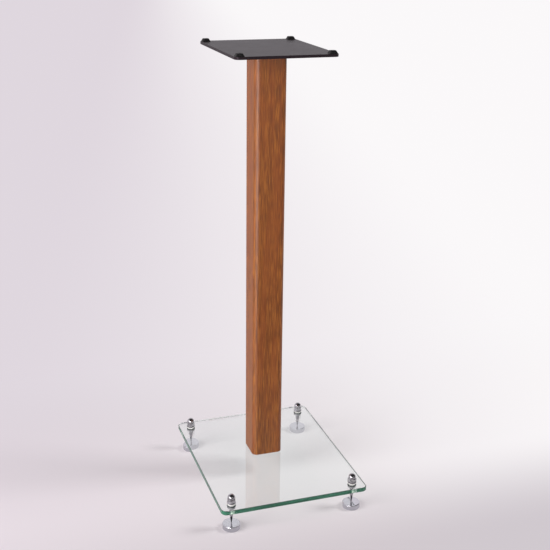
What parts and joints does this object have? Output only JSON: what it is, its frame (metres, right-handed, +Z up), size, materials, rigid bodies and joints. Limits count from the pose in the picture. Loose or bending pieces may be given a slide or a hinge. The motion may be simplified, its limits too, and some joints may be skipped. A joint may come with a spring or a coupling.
{
  "type": "speaker stand",
  "caption": "Loudspeaker stand: a glass base on levelling spikes with floor discs, a square veneered column set back on it, and a small padded steel plate on top.",
  "frame": {"origin": "on the floor, under the middle of the glass base", "axes": "+Z up; +X to the right seen from the front; +Y to the back, towards which the column is set"},
  "size_m": [0.256, 0.316, 0.765],
  "materials": {
    "glass": "clear, polished edges",
    "wood_veneer": "satin cherry veneer, grain along the column",
    "core_board": "raw board",
    "black_steel": "black powder coat, satin",
    "chrome": "polished",
    "zinc_steel": "bright zinc",
    "rubber": "matte black",
    "nylon": "natural, slightly milky",
    "felt": "dense wool felt"
  },
  "bodies": {
    "stand": {"glass_base": "glass", "veneer_wrap": "wood_veneer", "front_board": "core_board", "back_board": "core_board", "left_board": "core_board", "right_board": "core_board", "bottom_end_block": "core_board", "top_plate": "black_steel", "top_spigot": "black_steel", "tie_rod": "zinc_steel", "base_sleeve_nut": "zinc_steel", "front_left_spike_sleeve": "zinc_steel", "front_right_spike_sleeve": "zinc_steel", "back_left_spike_sleeve": "zinc_steel", "back_right_spike_sleeve": "zinc_steel", "base_washer": "rubber", "base_gasket": "rubber", "top_gasket": "rubber", "front_left_speaker_pad": "rubber", "front_left_lower_washer": "rubber", "front_right_speaker_pad": "rubber", "front_right_lower_washer": "rubber", "back_left_speaker_pad": "rubber", "back_left_lower_washer": "rubber", "back_right_speaker_pad": "rubber", "back_right_lower_washer": "rubber", "base_bush": "nylon", "front_left_hole_bush": "nylon", "front_left_upper_washer": "nylon", "front_right_hole_bush": "nylon", "front_right_upper_washer": "nylon", "back_left_hole_bush": "nylon", "back_left_upper_washer": "nylon", "back_right_hole_bush": "nylon", "back_right_upper_washer": "nylon", "front_left_dome_nut": "chrome", "front_left_steel_washer": "chrome", "front_right_dome_nut": "chrome", "front_right_steel_washer": "chrome", "back_left_dome_nut": "chrome", "back_left_steel_washer": "chrome", "back_right_dome_nut": "chrome", "back_right_steel_washer": "chrome"},
    "front_left_spike": {"front_left_spike": "chrome"},
    "front_left_disc": {"front_left_floor_disc": "chrome", "front_left_felt_pad": "felt"},
    "front_right_spike": {"front_right_spike": "chrome"},
    "front_right_disc": {"front_right_floor_disc": "chrome", "front_right_felt_pad": "felt"},
    "back_left_spike": {"back_left_spike": "chrome"},
    "back_left_disc": {"back_left_floor_disc": "chrome", "back_left_felt_pad": "felt"},
    "back_right_spike": {"back_right_spike": "chrome"},
    "back_right_disc": {"back_right_floor_disc": "chrome", "back_right_felt_pad": "felt"}
  },
  "joints": [
    {"name": "front_left_levelling", "type": "slide", "parent": "stand", "child": "front_left_spike", "axis": [0, 0, 1], "range_m": [-0.003, 0.003]},
    {"name": "front_left_disc_swivel", "type": "hinge", "parent": "front_left_spike", "child": "front_left_disc", "pos_m": [-0.107, -0.137, 0.0097], "axis": [0, 0, 1], "continuous": true},
    {"name": "front_right_levelling", "type": "slide", "parent": "stand", "child": "front_right_spike", "axis": [0, 0, 1], "range_m": [-0.003, 0.003]},
    {"name": "front_right_disc_swivel", "type": "hinge", "parent": "front_right_spike", "child": "front_right_disc", "pos_m": [0.107, -0.137, 0.0097], "axis": [0, 0, 1], "continuous": true},
    {"name": "back_left_levelling", "type": "slide", "parent": "stand", "child": "back_left_spike", "axis": [0, 0, 1], "range_m": [-0.003, 0.003]},
    {"name": "back_left_disc_swivel", "type": "hinge", "parent": "back_left_spike", "child": "back_left_disc", "pos_m": [-0.107, 0.137, 0.0097], "axis": [0, 0, 1], "continuous": true},
    {"name": "back_right_levelling", "type": "slide", "parent": "stand", "child": "back_right_spike", "axis": [0, 0, 1], "range_m": [-0.003, 0.003]},
    {"name": "back_right_disc_swivel", "type": "hinge", "parent": "back_right_spike", "child": "back_right_disc", "pos_m": [0.107, 0.137, 0.0097], "axis": [0, 0, 1], "continuous": true}
  ]
}
